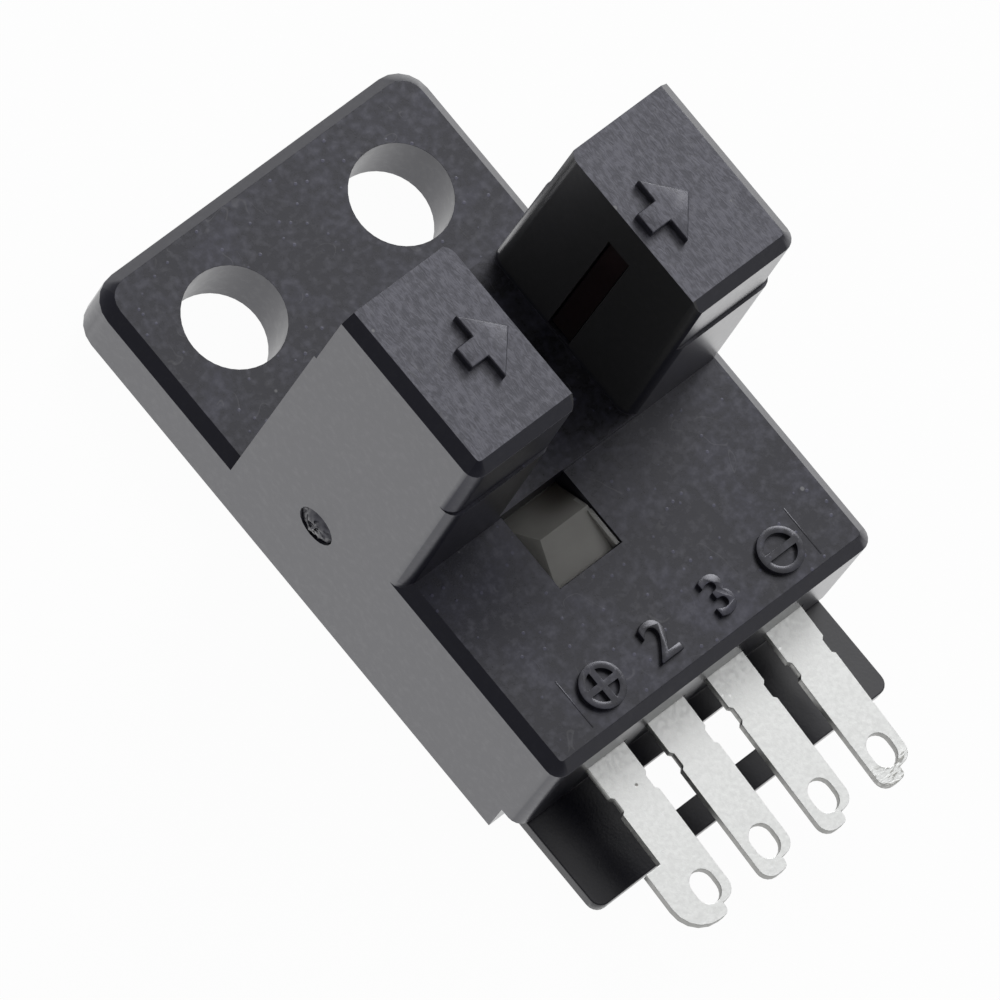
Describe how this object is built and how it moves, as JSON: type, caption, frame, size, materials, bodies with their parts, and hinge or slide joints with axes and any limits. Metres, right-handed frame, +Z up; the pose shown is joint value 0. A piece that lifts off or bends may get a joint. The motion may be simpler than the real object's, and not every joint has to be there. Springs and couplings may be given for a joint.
{
  "type": "slotted optical switch",
  "caption": "Slotted optical switch: a black case with a screw plate, two towers round a sensing slot, an indicator window and flat solder terminals in a row.",
  "frame": {"origin": "on the underside, in the middle of the width and of the whole length from the mounting plate's end to the terminals' tips", "axes": "+X across the sensing slot, away from the plus terminal; +Y towards the mounting plate; +Z up, out of the open top of the slot"},
  "size_m": [0.0134, 0.027, 0.0151],
  "materials": {
    "case_plastic": "fine moulded texture, satin",
    "cover_plastic": "moulded, satin",
    "infrared_plastic": "dark red infrared filter, polished",
    "light_guide_plastic": "translucent, satin",
    "tinned_metal": "matt tin over brass",
    "board_laminate": "glass epoxy with solder resist",
    "optical_resin": "dark moulded resin",
    "chip_ceramic": "fired ceramic with tinned ends",
    "chip_body": "tan ceramic or resin"
  },
  "bodies": {
    "root": {"case": "case_plastic", "base_cover": "cover_plastic", "circuit_board": "board_laminate", "terminal_plus": "tinned_metal", "terminal_light": "tinned_metal", "terminal_output": "tinned_metal", "terminal_minus": "tinned_metal", "emitter_window": "infrared_plastic", "receiver_window": "infrared_plastic", "emitter_package": "optical_resin", "receiver_package": "optical_resin", "emitter_lead_anode": "tinned_metal", "emitter_lead_cathode": "tinned_metal", "receiver_lead_supply": "tinned_metal", "receiver_lead_output": "tinned_metal", "receiver_lead_ground": "tinned_metal", "indicator_light_guide": "light_guide_plastic", "indicator_led": "chip_body", "output_transistor": "case_plastic", "protection_diode": "case_plastic", "bypass_capacitor": "chip_body", "led_resistor": "chip_ceramic", "indicator_resistor": "chip_ceramic", "pull_up_resistor": "chip_ceramic", "base_resistor": "chip_ceramic"}
  },
  "joints": []
}
